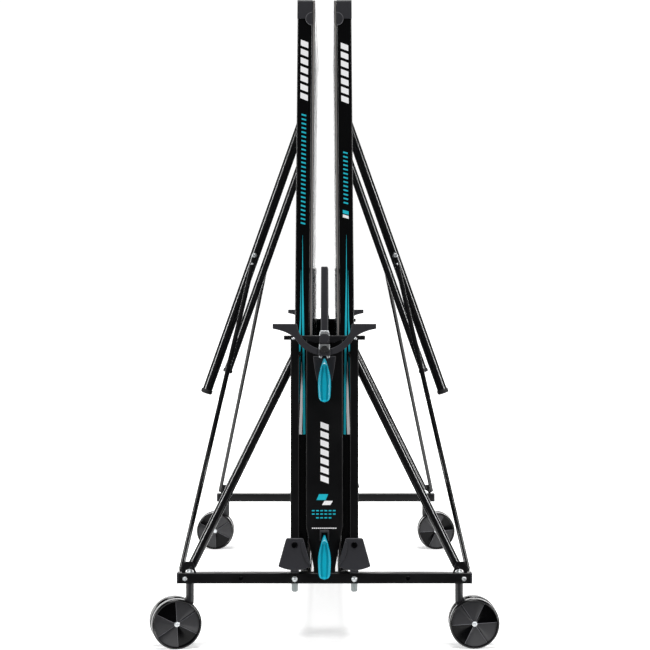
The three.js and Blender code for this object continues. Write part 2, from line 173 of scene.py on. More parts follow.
MIDDLE = (0, 0, 0.75)
add_lamp("sky_panel", "SUN", (0, -0.9, 6), MIDDLE, energy=3.0, angle=math.radians(25))
for side_name, side in SIDES.items():
    add_lamp(f"softbox_{side_name}", "AREA", (side * 3.6, -2.7, 1.3), MIDDLE, energy=125,
             shape="RECTANGLE", size=0.45, size_y=2.8)
print("camera and three lamps")

# %% [markdown]
# ## From arrays to meshes
#
# Nearly every piece is a stack of rings: an outline carried to another plane, or a circle that changes
# radius along an axis. Four-sided faces join neighbouring rings, and one face closes each end. Pressings
# get a Bevel modifier with hardened normals, so their edges catch the light.

# %% Rings into pieces


def prism(outline, start, stop, axis=1):
    """An outline carried straight from one plane to another. Axis is the direction of travel, and the
    outline fills the other two directions in order."""
    rings = np.empty((2, len(outline), 3))
    rings[:, :, [i for i in range(3) if i != axis]] = outline
    rings[:, :, axis] = [[start], [stop]]
    return rings


def turned(profile, start, direction, around=40):
    """A turned shape. Each row of the profile is a radius and a distance along the axis, and gives the
    circle: start + distance x axis + radius x (cos of the angle x first side + sin x second side)."""
    axis = unit(direction)
    helper = [0, 0, 1] if abs(axis[2]) < 0.9 else [1, 0, 0]
    first = unit(np.cross(helper, axis))
    second = np.cross(axis, first)
    angle = np.linspace(0, 2 * np.pi, around, endpoint=False)
    circle = np.outer(np.cos(angle), first) + np.outer(np.sin(angle), second)
    radius, distance = np.asarray(profile, float).T
    return np.asarray(start) + distance[:, None, None] * axis + radius[:, None, None] * circle


def box_outline(x0, x1, z0, z1):
    """The four corners of a rectangle."""
    return np.array([[x0, z0], [x1, z0], [x1, z1], [x0, z1]], float)


def soft_box(width, height, radius, steps=6):
    """A rectangle about the origin with round corners: each corner point, plus the radius times the
    cosine and sine of an angle that runs through its quarter turn."""
    quarter = np.linspace(0, np.pi / 2, steps)
    angle = np.concatenate([quarter + k * np.pi / 2 for k in range(4)])
    sign = np.sign([[1, 1], [-1, 1], [-1, -1], [1, -1]]).repeat(steps, axis=0)
    inner = [width / 2 - radius, height / 2 - radius]
    return sign * inner + radius * np.column_stack([np.cos(angle), np.sin(angle)])


def faces_between(rows, around, first):
    """Faces of a stack of rings: each joins two neighbours in a ring to the same two in the next ring."""
    index = first + np.arange(rows * around).reshape(rows, around)
    after = np.roll(index, -1, axis=1)
    quads = np.stack([index[:-1], after[:-1], after[1:], index[1:]], axis=-1).reshape(-1, 4)
    return [*quads.tolist(), index[0, ::-1].tolist(), index[-1].tolist()]


def add_piece(name, shells, look, body, stands_for=None, base=UPRIGHT, edge=0, crease=35):
    """Makes one piece from stacks of rings given in a base's own directions, in millimetres. Edge is the
    width of its rounded edges, and without one its faces shade smoothly up to the crease angle."""
    origin, directions = base
    points, faces = [], []
    for rings in shells if isinstance(shells, list) else [shells]:
        faces += faces_between(*rings.shape[:2], sum(map(len, points)))
        points.append(origin + rings.reshape(-1, 3) @ directions)
    mesh = bpy.data.meshes.new(name)
    mesh.from_pydata((np.concatenate(points) * MM).tolist(), [], faces)
    shape = bmesh.new()
    shape.from_mesh(mesh)
    bmesh.ops.remove_doubles(shape, verts=shape.verts, dist=0.002 * MM)
    bmesh.ops.recalc_face_normals(shape, faces=shape.faces)
    shape.to_mesh(mesh)
    shape.free()
    mesh.polygons.foreach_set("use_smooth", np.ones(len(mesh.polygons), bool))
    piece = bpy.data.objects.new(name, mesh)
    bpy.context.scene.collection.objects.link(piece)
    if edge:
        rounding = piece.modifiers.new("rounded_edges", "BEVEL")
        rounding.width = edge * MM
        rounding.segments = 3
        rounding.limit_method = "ANGLE"
        rounding.harden_normals = True
    else:
        mesh.set_sharp_from_angle(angle=math.radians(crease))
    material, slot = look
    mesh.materials.append(material)
    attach(piece, body)
    if stands_for:
        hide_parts(stands_for)
    return piece


def add_plates(tail, end, body, rows):
    """Flat plates that face outwards. A row is a name, an outline, the distances of its back and its face
    from the middle, a look, the width of its rounded edges and the node it stands for, if there is one."""
    for name, outline, back, face, look, edge, *node in rows:
        add_piece(f"{name}_{tail}", prism(outline, end * back, end * face), look, body,
                  *[f"{part}_{tail}" for part in node], edge=edge)


# %% [markdown]
# ## Finishes
#
# Each finish starts from the real material. A pattern's scale is one over its real size, because the
# coordinates are in metres. The same pattern can drive the colour, the roughness and the relief.

# %% Colour and node helpers


def linear(code):
    """sRGB colour code to linear red, green, blue and alpha: the low part is divided by 12.92, and the
    rest is ((value + 0.055) / 1.055) to the power 2.4."""
    value = np.array([int(code[i:i + 2], 16) for i in (1, 3, 5)]) / 255
    value = np.where(value <= 0.04045, value / 12.92, ((value + 0.055) / 1.055) ** 2.4)
    return (*value.tolist(), 1.0)


def add_node(tree, kind, inputs=None, **settings):
    """Adds a node. Settings are its own properties. Inputs are values or the sockets linked to them."""
    node = tree.nodes.new(kind)
    for setting, value in settings.items():
        setattr(node, setting, value)
    for socket, value in (inputs or {}).items():
        if isinstance(value, bpy.types.NodeSocket):
            tree.links.new(value, node.inputs[socket])
        else:
            node.inputs[socket].default_value = value
    return node


def per_mm(size):
    """Texture scale for a pattern whose cells are that many millimetres across."""
    return 1 / (size * MM)


def new_finish(name, slot, **constants):
    """A material with one main shader, whose constant values are set on the shader itself. Returns the
    look, which is the material and its slot in the record, with the shader and the place on the object."""
    material = bpy.data.materials.new(name)
    material.use_nodes = True
    shader = material.node_tree.nodes["Principled BSDF"]
    for socket, value in constants.items():
        shader.inputs[socket.replace("_", " ")].default_value = value
    place = add_node(material.node_tree, "ShaderNodeTexCoord").outputs["Object"]
    return (material, slot), shader, place


def noise(place, size, detail=2.0):
    """A cloudy pattern with patches that many millimetres across."""
    return add_node(place.id_data, "ShaderNodeTexNoise",
                    {"Vector": place, "Scale": per_mm(size), "Detail": detail}).outputs["Fac"]


def colour(shader, pattern, dark, light):
    """The base colour runs between two codes with the pattern."""
    shade = add_node(shader.id_data, "ShaderNodeValToRGB", {"Fac": pattern})
    shade.color_ramp.elements[0].color = linear(dark)
    shade.color_ramp.elements[1].color = linear(light)
    shader.id_data.links.new(shade.outputs["Color"], shader.inputs["Base Color"])


def roughness(shader, pattern, low, high, start=0.3, stop=0.7):
    """The roughness runs from low to high while the pattern runs from start to stop."""
    spread = add_node(shader.id_data, "ShaderNodeMapRange", {
        "Value": pattern, "From Min": start, "From Max": stop, "To Min": low, "To Max": high})
    shader.id_data.links.new(spread.outputs["Result"], shader.inputs["Roughness"])


def relief(shader, pattern, strength, height, under=None):
    """The pattern as a bump that many millimetres high, on top of another bump if one is given."""
    below = {"Normal": under} if under else {}
    bump = add_node(shader.id_data, "ShaderNodeBump", {
        "Height": pattern, "Strength": strength, "Distance": height * MM, **below})
    shader.id_data.links.new(bump.outputs["Normal"], shader.inputs["Normal"])
    return bump.outputs["Normal"]


# %% [markdown]
# ### Paint
#
# Rails, beams, guide tubes and covers are steel with a baked dry powder. It flows a little before it sets,
# which leaves an orange peel about a millimetre across, and its sheen wanders over a hand's width. Legs,
# arms and rods have a glossier paint with a fine ripple, so their bright lines are sharp. The aprons are
# enamelled nearly pure black. Long pressed faces are never quite flat, so a shallow wave a few centimetres
# long bends their reflections.

# %% Powder coat, gloss paint and enamel
powder_coat, shader, place = new_finish("powder_coated_steel", "powder_coat", Specular_IOR_Level=0.25)
drift = noise(place, 90)
colour(shader, drift, "#050506", "#0b0b0d")
roughness(shader, drift, 0.34, 0.46)
relief(shader, noise(place, 1.3, 3.0), 0.5, 0.03)

gloss_paint, shader, place = new_finish("gloss_painted_tube", "powder_coat", Coat_Weight=0.4,
                                        Coat_Roughness=0.08)
wear = noise(place, 40, 5.0)
colour(shader, wear, "#050506", "#0b0b0d")
roughness(shader, wear, 0.16, 0.27)
relief(shader, noise(place, 2.5), 0.25, 0.02)

apron_enamel, shader, place = new_finish("black_enamel", "apron_coat", Coat_Weight=0.15, Coat_Roughness=0.1,
                                         Specular_IOR_Level=0.25)
wave, speck = noise(place, 60, 1.0), noise(place, 0.8)
colour(shader, wave, "#030304", "#050506")
roughness(shader, speck, 0.2, 0.3, 0.2, 0.8)
relief(shader, speck, 0.3, 0.01, relief(shader, wave, 0.4, 0.25))
print("finishes:", powder_coat[0].name, gloss_paint[0].name, apron_enamel[0].name)

# %% [markdown]
# ### Melamine board and its lines
#
# The playing surface is melamine resin with a fine grain of about half a millimetre. Seen from above it
# is matt, and at a glancing angle it mirrors the white room. Its lines are a thicker white ink.

# %% Playing surface
melamine, shader, place = new_finish("matt_melamine", "playing_surface")
cloud = noise(place, 120, 4.0)
grit = add_node(place.id_data, "ShaderNodeTexVoronoi", {"Vector": place, "Scale": per_mm(0.6)})
colour(shader, cloud, "#30363d", "#363d45")
roughness(shader, cloud, 0.16, 0.22)
relief(shader, grit.outputs["Distance"], 0.1, 0.01)

line_ink, shader, place = new_finish("white_line_ink", "playing_surface")
fade = noise(place, 25, 6.0)
colour(shader, fade, "#d9dadb", "#f2f2f0")
roughness(shader, fade, 0.4, 0.55, 0, 1)
print("finishes:", melamine[0].name, line_ink[0].name)

# %% [markdown]
# ### Moulded plastics
#
# Sliders, bow and post are glass-filled polyamide from an eroded mould: dark grey, with a grain of about
# half a millimetre and a dull sheen. Casters are smooth ABS, which mirrors the room. The levers are ABS
# in teal. The plugs under the columns are bare grey polyethylene.

# %% Polyamide, ABS and polyethylene


def moulded(name, slot, dark, light, grain_mm, relief_mm, rough, **constants):
    """A moulded plastic: colour drifts between two codes over some centimetres, as the pigment does, and
    the mould's grain gives the bump and the spread of the roughness."""
    look, shader, place = new_finish(name, slot, **constants)
    grain = noise(place, grain_mm, 4.0)
    colour(shader, noise(place, 35, 3.0), dark, light)
    roughness(shader, grain, rough - 0.05, rough + 0.05)
    relief(shader, grain, 0.6, relief_mm)
    return look


polyamide = moulded("grained_polyamide", "dark_plastic", "#202024", "#29292e", 0.6, 0.04, 0.5)
black_rubber = moulded("black_rubber", "dark_plastic", "#0d0d0f", "#161618", 0.4, 0.03, 0.75)
gloss_abs = moulded("gloss_black_abs", "gloss_plastic", "#020203", "#050506", 3.0, 0.01, 0.16,
                    Specular_IOR_Level=0.15)
hub_abs = moulded("satin_hub_abs", "gloss_plastic", "#1d1d1f", "#252528", 1.2, 0.02, 0.42)
# Pale grey for the thin spokes of the hub caps: the colour is a painted highlight along each rib.
spoke_grey_painted_highlight = moulded("spoke_abs_painted_highlight", "gloss_plastic", "#55555a", "#65656a", 0.8, 0.02, 0.35)
tyre = moulded("polyurethane_tyre", "gloss_plastic", "#030304", "#070708", 1.5, 0.02, 0.22,
               Specular_IOR_Level=0.35)
teal_abs = moulded("teal_abs", "teal_plastic", "#009ab3", "#02a6bf", 1.0, 0.015, 0.3,
                   Coat_Weight=0.3, Coat_Roughness=0.15)
grey_plug = moulded("grey_polyethylene", "dark_plastic", "#7d8484", "#929898", 0.9, 0.03, 0.5)
laminate = moulded("balancing_laminate", "playing_surface", "#1c1f23", "#24282d", 1.2, 0.02, 0.6)
# Pale grey board core: the bare edge, and where it shows as a line along the board's edge, also a painted
# highlight.
board_core_and_edge_highlight = moulded("bare_board_edge_painted_highlight", "playing_surface", "#6f6b69", "#85807c", 1.5, 0.05, 0.6)
# Pale grey plastic for the thin rim around each bumper: its colour is a painted highlight on the bumper's rounded
# edge.
rim_painted_highlight = moulded("rim_plastic_painted_highlight", "dark_plastic", "#77777b", "#8d8d91", 0.6, 0.02, 0.4)
print("finishes: nine moulded plastics, the board's laminate and its bare edge")

# %% [markdown]
# ### Zinc, vinyl, netting and tape
#
# Bolts and brackets are bright zinc on steel: metal with a faint crystal pattern a few millimetres wide.
# The marks on the aprons are cut vinyl film. The net is knotless polyester twine, and its top edge is
# folded into a white woven tape with threads of about 0.7 mm, drawn at 1.2 mm so that they show.

# %% Zinc and vinyl film
zinc, shader, place = new_finish("bright_zinc", "zinc", Metallic=1.0)
crystal = add_node(place.id_data, "ShaderNodeTexVoronoi", {"Vector": place, "Scale": per_mm(2.5)})
colour(shader, crystal.outputs["Color"], "#d2d7da", "#f3f5f6")
roughness(shader, crystal.outputs["Distance"], 0.34, 0.5, 0, 1)


def vinyl(name, slot, dark, light):
    """Cut film: an even colour with a slight fade, and a gloss with a fine orange peel."""
    look, shader, place = new_finish(name, slot)
    colour(shader, noise(place, 30), dark, light)
    roughness(shader, noise(place, 1.0), 0.3, 0.45, 0, 1)
    return look


VINYL = {
    (where, tone): vinyl(f"{tone}_vinyl_on_{where}", slot, *codes)
    for where, slot in (("apron", "apron_coat"), ("cover", "powder_coat"))
    for tone, codes in (("white", ("#eeeef0", "#fbfbfc")), ("teal", ("#16b0c4", "#24bfd1")))
}

# %% Twine and woven tape


def bands(place, scale, direction, distortion=0.0):
    """Stripes across a direction. They repeat every 0.314 / scale."""
    return add_node(place.id_data, "ShaderNodeTexWave",
                    {"Vector": place, "Scale": scale, "Distortion": distortion},
                    bands_direction=direction).outputs["Fac"]


twine, shader, place = new_finish("polyester_twine", "netting", Roughness=0.75)
strand = bands(place, per_mm(6), "DIAGONAL", 1.5)
colour(shader, strand, "#101012", "#222226")
relief(shader, strand, 0.5, 0.1)

tape_cloth, shader, place = new_finish("woven_polyester_tape", "netting", Roughness=0.7, Sheen_Weight=0.3)
thread = 0.314 * per_mm(1.2)
warp, weft = bands(place, thread, "Y"), bands(place, thread, "Z")
weave = add_node(place.id_data, "ShaderNodeMath", {0: warp, 1: weft}, operation="MULTIPLY").outputs["Value"]
colour(shader, weave, "#d4d4d2", "#f6f6f4")
relief(shader, weave, 0.6, 0.15)
print("finishes:", zinc[0].name, twine[0].name, tape_cloth[0].name)

# %% Every CAD node gets the finish of its slot
FINISH_OF_SLOT = {
    "powder_coat": powder_coat, "apron_coat": apron_enamel, "playing_surface": melamine,
    "dark_plastic": polyamide, "gloss_plastic": gloss_abs, "teal_plastic": teal_abs, "zinc": zinc,
    "netting": twine,
}
for part in frame["record"]["subparts"]:
    node = frame["nodes"][part["node"]]
    for material_slot in node.material_slots:
        material_slot.material = FINISH_OF_SLOT[part["material_slot"]][0]

# %% [markdown]
# ## Fasteners
#
# The white dots on the black frame are zinc bolts. A dome bolt is turned in one go, washer and head. A
# hexagon bolt is the same idea with six points in a ring instead of 36, on a round washer.

# %% Bolts


def dome_bolt(radius, start, direction):
    """A thin washer with a domed head on it. The dome's height falls as the cosine of the angle while
    its radius grows as the sine."""
    angle = np.linspace(np.pi / 2, 0, 9)
    head = 0.72 * radius
    dome = np.column_stack([head * np.sin(angle), 0.12 * radius + 0.42 * radius * np.cos(angle)])
    washer = [[0, -0.4], [radius, -0.4], [radius, 0.08 * radius], [radius * 0.94, 0.12 * radius]]
    return turned(np.vstack([washer, dome]), start, direction, 36)


def hex_bolt(radius, start, direction, height=None):
    """A round washer, a hexagon with its corners turned off, and a shallow well in the middle."""
    height = height or 0.6 * radius
    washer = turned([[0, -0.4], [radius, -0.4], [radius, 1.0], [0.95 * radius, 1.2], [0, 1.2]],
                    start, direction, 36)
    head = 0.8 * radius
    hexagon = turned([[0, 1.0], [head, 1.0], [head, height - 0.5], [head * 0.9, height],
                      [head * 0.5, height], [head * 0.42, height - 0.6], [0, height - 0.6]],
                     start, direction, 6)
    return [washer, hexagon]


print("bolts: dome and hexagon")

# %% [markdown]
# ## The trolley
#
# Rails, beams and guide tubes are box tube, so each is a rounded rectangle carried along it. Moulded caps
# close the rails. Near each rail end a folded saddle holds the feet of a rocker arm and a link rod, and an
# arch in it leaves room for the nut of the caster stem.

# %% Rails, beams and guide tubes
CAP = 3
rail_ends = RAIL_LOW[0] + CAP, RAIL_HIGH[0] - CAP
rail_depth = RAIL_HIGH[1] - RAIL_LOW[1]
rail_height = RAIL_TOP - RAIL_LOW[2]
rail_middle = RAIL_LOW[2] + rail_height / 2
FOOT = {name: joint_place(f"{name}_swing_right") for name in ("arm", "rod")}
SWIVEL = joint_place("swivel_rear_right")
SADDLE_TOP = RAIL_HIGH[2]
SADDLE_FACE = RAIL_Y + 10.5

for end_name, end in ENDS.items():
    profile = soft_box(rail_depth, rail_height, 2.5) + [end * RAIL_Y, rail_middle]
    add_piece(f"rail_tube_{end_name}", prism(profile, *rail_ends, axis=0), powder_coat, "trolley",
              f"cross_rail_{end_name}")

for tail, end, side, side_name in QUARTERS:
    cap = soft_box(rail_depth + 0.6, rail_height + 0.6, 2.8) + [end * RAIL_Y, rail_middle]
    add_piece(f"rail_cap_{tail}", prism(cap, side * (rail_ends[1] - 1), side * RAIL_HIGH[0], axis=0),
              polyamide, "trolley", edge=0.8)
    turn = np.linspace(np.pi, 0, 11)
    arch = [SWIVEL[0], RAIL_TOP - 0.5] + np.column_stack([11 * np.cos(turn), 10 * np.sin(turn)])
    saddle = np.vstack([[306, RAIL_TOP - 0.5], arch, [341, RAIL_TOP - 0.5], [341, RAIL_TOP + 14],
                        [335, SADDLE_TOP], [314, SADDLE_TOP]]) * [side, 1]
    add_plates(tail, end, "trolley", [("saddle", saddle, SADDLE_FACE - 3, SADDLE_FACE, powder_coat, 0.7)])
    node = f"guide_tube_{tail}"
    low, high = box(node)
    profile = soft_box(*(high - low)[:2], 2.2) + (low + high)[:2] / 2
    add_piece(f"column_tube_{tail}", prism(profile, low[2] - 0.3, high[2], axis=2), powder_coat, "trolley",
              node)

for side_name in SIDES:
    low, high = box(f"floor_beam_{side_name}")
    profile = soft_box(high[0] - low[0], high[2] - low[2], 2.5) + ((low + high) / 2)[[0, 2]]
    add_piece(f"beam_tube_{side_name}", prism(profile, low[1] - 0.3, high[1] + 0.3), powder_coat,
              "trolley", f"floor_beam_{side_name}")
print("trolley: 2 rails, 2 beams, 4 guide tubes, 4 saddles")

# %% [markdown]
# The rail's fittings are all seen from the front: a dome bolt into each column foot, a hexagon bolt near
# each end, a rivet nut in between, the caster nut on top and a round plug under each column.

# %% Rail fittings
DOME_X = PIVOT[0]
HEX_X = 333
RIVET_X = 199
COLUMN_Y = (TUBE_LOW[1] + TUBE_HIGH[1]) / 2

RIVET = [[0, 0.1], [3.2, 0.1], [3.4, 0.9], [4.4, 0.9], [5, 0.3], [5, -0.3], [0, -0.3]]
PLUG = [[0, 0], [8, 0], [8, 16], [7.2, 19], [4.8, 20.6], [0, 20.9]]

for tail, end, side, side_name in QUARTERS:
    face, outwards = end * RAIL_HIGH[1], [0, end, 0]
    fittings = {
        "column_bolt": (dome_bolt(6.6, [side * DOME_X, face, rail_middle - 1.5], outwards), zinc),
        "rail_bolt": (hex_bolt(5.2, [side * HEX_X, face, rail_middle - 1], outwards, 4), zinc),
        "rivet_nut": (turned(RIVET, [side * RIVET_X, face, rail_middle], outwards, 28), gloss_abs),
        "caster_nut": (hex_bolt(9.3, [side * SWIVEL[0], end * RAIL_Y, RAIL_TOP], [0, 0, 1], 7), zinc),
    }
    for name, foot in FOOT.items():
        start = [side * foot[0], end * SADDLE_FACE, foot[2]]
        fittings[f"{name}_foot_bolt"] = (dome_bolt(4.2, start, outwards), powder_coat)
    for name, (shells, look) in fittings.items():
        add_piece(f"{name}_{tail}", shells, look, "trolley")
    plug = turned(PLUG, [side * DOME_X, end * COLUMN_Y, RAIL_LOW[2] + 0.2], [0, 0, -1])
    add_piece(f"column_plug_{tail}", plug, grey_plug, "trolley", crease=50)
print("rail fittings: 7 at each end of each rail")

# %% [markdown]
# ## Columns
#
# A pressed cover stands between the guide tubes of each column: a flat strip with both flanges bent
# back. Its section is a path with rounded bends, moved by half the sheet to either side. The same section
# at four heights, narrowing to a tongue below, makes the whole cover. The aprons show beside it.

# %% Pressed profiles


def arc(centre, radius, start, stop, steps=24):
    """Points on a circle between two angles, in degrees."""
    angle = np.radians(np.linspace(start, stop, steps))
    return np.asarray(centre) + radius * np.column_stack([np.cos(angle), np.sin(angle)])


def bend(first, control, last, steps=10):
    """A quadratic curve: (1 - t) squared x first + 2 t (1 - t) x control + t squared x last."""
    t = np.linspace(0, 1, steps)[:, None]
    first, control, last = map(np.asarray, (first, control, last))
    return (1 - t) ** 2 * first + 2 * t * (1 - t) * control + t ** 2 * last


def soft_path(points, radius, steps=6):
    """An open path whose inner corners are rounded: each corner is replaced by a quadratic curve that
    starts and ends one radius away from it."""
    points = np.asarray(points, float)
    parts = [points[:1]]
    for before, corner, after in zip(points[:-2], points[1:-1], points[2:]):
        parts.append(bend(corner + radius * unit(before - corner), corner,
                          corner + radius * unit(after - corner), steps))
    return np.vstack([*parts, points[-1:]])


def pressed(path, thickness):
    """A closed outline: the path moved half the thickness to its left, then back along its right. Left
    is the direction of travel turned by a quarter."""
    travel = np.gradient(path, axis=0)
    left = np.column_stack([-travel[:, 1], travel[:, 0]])
    left *= thickness / 2 / np.linalg.norm(left, axis=1, keepdims=True)
    return np.vstack([path + left, (path - left)[::-1]])


# %% Covers and tie plates
COVER = {name: box(f"column_cover_{name}") for name in ENDS}
COLUMN_TOP = COVER["rear"][1][2]
WEDGE_FACE = COVER["rear"][1][1]
COVER_FACE = WEDGE_FACE - 12
COVER_HALF = 44
SHEET = 2


def cover_rings(end):
    """The cover's closed section at four heights: a tongue 52 mm wide at the rail, full width above."""
    rings = []
    for height, width in ((RAIL_TOP + 0.3, 26), (RAIL_TOP + 14, 26), (290, COVER_HALF),
                          (COLUMN_TOP - 0.5, COVER_HALF)):
        w, y = width - SHEET / 2, COVER_FACE - SHEET / 2
        section = pressed(soft_path([[-w, y - 11], [-w, y], [w, y], [w, y - 11]], 2.6), SHEET)
        rings.append(np.column_stack([section[:, 0], end * section[:, 1], np.full(len(section), height)]))
    return np.array(rings)


COLUMN_PLATES = [
    ("tie_plate", box_outline(-97, 97, TUBE_HIGH[2] + 0.3, COLUMN_TOP), 786, COVER_FACE - 0.4,
     powder_coat, 1.2),
    ("lever_wedge", [[-27.5, 695.5], [27.5, 695.5], [24, 668], [18, 636], [-18, 636], [-24, 668]],
     COVER_FACE - 1, WEDGE_FACE, polyamide, 1.4),
    ("wedge_lip", box_outline(-25, 25, 687, 688.6), WEDGE_FACE, WEDGE_FACE + 0.5, polyamide, 0.2),
    ("lever_socket", [[-11, 256], [-7.5, 256], [-7.5, 276], [7.5, 276], [7.5, 256], [11, 256], [11, 280],
                      [-11, 280]], COVER_FACE - 1, WEDGE_FACE, polyamide, 0.7),
]
for end_name, end in ENDS.items():
    add_piece(f"cover_sheet_{end_name}", cover_rings(end), powder_coat, "trolley",
              f"column_cover_{end_name}")
    add_plates(end_name, end, "trolley", COLUMN_PLATES)
for tail, end, side, side_name in QUARTERS:
    start = [side * 73.5, end * (COVER_FACE - 0.4), TUBE_HIGH[2] + 3]
    add_piece(f"tie_bolt_{tail}", dome_bolt(4.3, start, [0, end, 0]), zinc, "trolley")
print(f"columns: covers {2 * COVER_HALF:.0f} mm wide, {COLUMN_TOP - RAIL_TOP:.0f} mm tall")

# %% [markdown]
# ## The net set
#
# A moulded bow swings under each end of the net and carries the post. Its outline is built from arcs and
# quadratic curves, each worked out as an array. The clamp is a zinc bracket with a round knob in it.

# %% Bow, post and clamp
BOW_HIGH = box("net_bow_rear")[1]
POST_LOW, POST_HIGH = box("net_post_rear")
BOW_TOP = BOW_HIGH[2]
BOW_CENTRE = BOW_TOP + 5
BOW_TIP = BOW_HIGH[0]
BOW_BACK, BOW_FRONT = BOW_HIGH[1] - 17.5, BOW_HIGH[1] - 5.5
OUTER, INNER = 80, 65


def bow_outline():
    """Two flat arms that run out of the arc. The underside of each arm is a quadratic curve that leaves
    the arc 29 degrees below its centre line."""
    lower = arc([0, BOW_CENTRE], OUTER, -29, -151, 48)
    tip = np.array([BOW_TIP, BOW_TOP - 11.7])
    right = bend(tip, [90, BOW_TOP - 17], lower[0], 14)
    left = bend(lower[-1], [-90, BOW_TOP - 17], tip * [-1, 1], 14)
    upper = arc([0, BOW_CENTRE], INNER, -175.6, -4.4, 56)
    return np.vstack([[[BOW_TIP, BOW_TOP]], right, lower[1:-1], left, [[-BOW_TIP, BOW_TOP]], upper])


def post_rings(end):
    """The post's rounded cross-section at rising heights: it tapers a little and its top is domed."""
    heights = np.array([POST_LOW[2], 760, POST_HIGH[2] - 3, POST_HIGH[2] - 1, POST_HIGH[2]])
    shrink = np.array([1, 1, 0.9, 0.84, 0.7])
    profile = soft_box(*(POST_HIGH - POST_LOW)[:2], 3)
    flat = shrink[:, None, None] * profile + [0, end * (POST_LOW[1] + POST_HIGH[1]) / 2]
    return np.dstack([flat, np.broadcast_to(heights[:, None, None], (5, len(profile), 1))])


NET_PLATES = [
    ("bow_arc", bow_outline(), BOW_BACK, BOW_FRONT, polyamide, 1.3, "net_bow"),
    ("bow_block", box_outline(-14, 14, 697, 711.6), COVER_FACE + 0.3, BOW_FRONT + 3, polyamide, 1.8),
    ("bow_hanger", [[-52, COLUMN_TOP], [-52, 739], [-22, 727], [22, 727], [52, 739], [52, COLUMN_TOP]],
     COVER_FACE + 0.3, COVER_FACE + 3.5, polyamide, 1),
    ("bow_web", box_outline(-9, 9, 709, 728), COVER_FACE + 0.3, BOW_BACK - 3, polyamide, 0.8),
    ("post_socket", box_outline(-11.5, 11.5, 726, COLUMN_TOP), COVER_FACE + 1, POST_HIGH[1], polyamide, 1.6),
    ("post_collar", [[-13, 744.6], [13, 744.6], [9.8, 757], [-9.8, 757]], POST_LOW[1] + 0.5,
     POST_HIGH[1] + 0.8, zinc, 1),
    ("clamp_bracket", box_outline(-13, 13, 712, 725.2), POST_HIGH[1] - 5.2, POST_HIGH[1] - 3, zinc, 0.9,
     "net_clamp"),
]
BOSS = [[0, 0], [11.8, 0], [11.8, 2.2], [10.8, 3.2], [0, 3.6]]
KNOB = [[0, 0], [9.4, 0], [9.6, 2], [8.9, 3.6], [6.4, 4.2], [5.8, 3.5], [4.2, 3.5], [3.6, 4.2], [0, 4.4]]
PIN = [[0, -6], [3.6, -6], [3.6, 5.4], [2.8, 6.2], [0, 6.6]]

for end_name, end in ENDS.items():
    outwards = [0, end, 0]
    add_plates(end_name, end, "trolley", NET_PLATES)
    add_piece(f"post_bar_{end_name}", post_rings(end), polyamide, "trolley", f"net_post_{end_name}")
    add_piece(f"socket_boss_{end_name}", turned(BOSS, [0, end * (POST_HIGH[1] + 0.2), 739], outwards),
              polyamide, "trolley")
    add_piece(f"clamp_knob_{end_name}", turned(KNOB, [0, end * (POST_HIGH[1] - 3.4), 712], outwards),
              black_rubber, "trolley")
for tail, end, side, side_name in QUARTERS:
    rib = box_outline(side * 99, side * 102, BOW_TOP - 11.5, BOW_TOP - 1.5)
    add_plates(tail, end, "trolley", [("bow_rib", rib, BOW_FRONT - 0.2, BOW_FRONT + 0.7, polyamide, 0.3)])
    pin = turned(PIN, [side * 9.2, end * (BOW_BACK + 5), 695.2], [0, end, 0], 28)
    add_piece(f"bow_pin_{tail}", pin, zinc, "trolley")
print("net set: bow, post and clamp at each end")

# %% [markdown]
# The net is a lattice of thin twine, 12.5 mm between strands. Each strand is a six-sided tube, which is
# round enough for something less than a millimetre thick. Along the top a white tape is folded over the
# lattice, so it is a real sheet of cloth, stretched between the posts.

# %% Net and tape
NET_LOW, NET_HIGH = box("net")
MESH = 12.5
TWINE = 0.45
TAPE_DEEP = 15


def strand_tube(start, stop):
    """A straight six-sided tube between two points."""
    run = np.subtract(stop, start)
    return turned([[TWINE, 0], [TWINE, np.linalg.norm(run)]], start, run, 6)


def folded_tape(low, high):
    """A band folded over the top of the net: up one face, over a half circle and down the other. The
    same path, 0.3 mm further in, closes it into a thin cloth."""
    half, cloth = 0.95, 0.3
    over = arc([0, high[2] - half], half, 180, 0, 12)
    under = arc([0, high[2] - half], half - cloth, 0, 180, 12)
    bottom = high[2] - TAPE_DEEP
    outline = np.vstack([[[-half, bottom]], over, [[half, bottom], [half - cloth, bottom]], under,
                         [[cloth - half, bottom]]])
    width = 2 * (TAPE_DEEP - half) + np.pi * half
    return prism(outline, low[1], high[1]), width


upright = np.arange(NET_LOW[1] + 8, NET_HIGH[1] - 7, MESH)
level = np.arange(NET_LOW[2] + 1, NET_HIGH[2] - 4, MESH)
strands = [strand_tube([0.3, y, NET_LOW[2]], [0.3, y, NET_HIGH[2] - 3]) for y in upright]
strands += [strand_tube([-0.3, NET_LOW[1], z], [-0.3, NET_HIGH[1], z]) for z in level]
netting = add_piece("net_lattice", strands, twine, "trolley", "net")
tape, tape_width = folded_tape(NET_LOW, NET_HIGH)
tape = add_piece("net_tape", tape, tape_cloth, "trolley")
print(f"net: {len(upright)} by {len(level)} strands, tape {tape_width:.0f} mm wide before it is folded")

# %% [markdown]
# ## Sliders
#
# Each shoe clasps its guide tube and carries the pivot of a half table. The face is a flared shield with
# a curved lip along its inner flank and a sunk eye over the pivot.

# %% Slider shoes
SLIDER_LOW, SLIDER_HIGH = box("slider_rear_right")
SHOE_BACK = COLUMN_Y + 10.4
SHOE_FACE = SLIDER_HIGH[1]


def shield(side):
    """The shoe's front outline about its tube: a narrow top with soft corners, straight flanks and a
    hanging curve below."""
    top, low = SLIDER_HIGH[2], SLIDER_LOW[2] + 15.7
    shape = np.vstack([
        bend([21.5, top - 4], [20.5, top], [16, top], 6), bend([-16, top], [-20.5, top], [-21.5, top - 4], 6),
        bend([-39, low + 1], [0, low - 18], [39, low + 1], 24),
    ])
    return shape * [side, 1] + [side * PIVOT[0], 0]


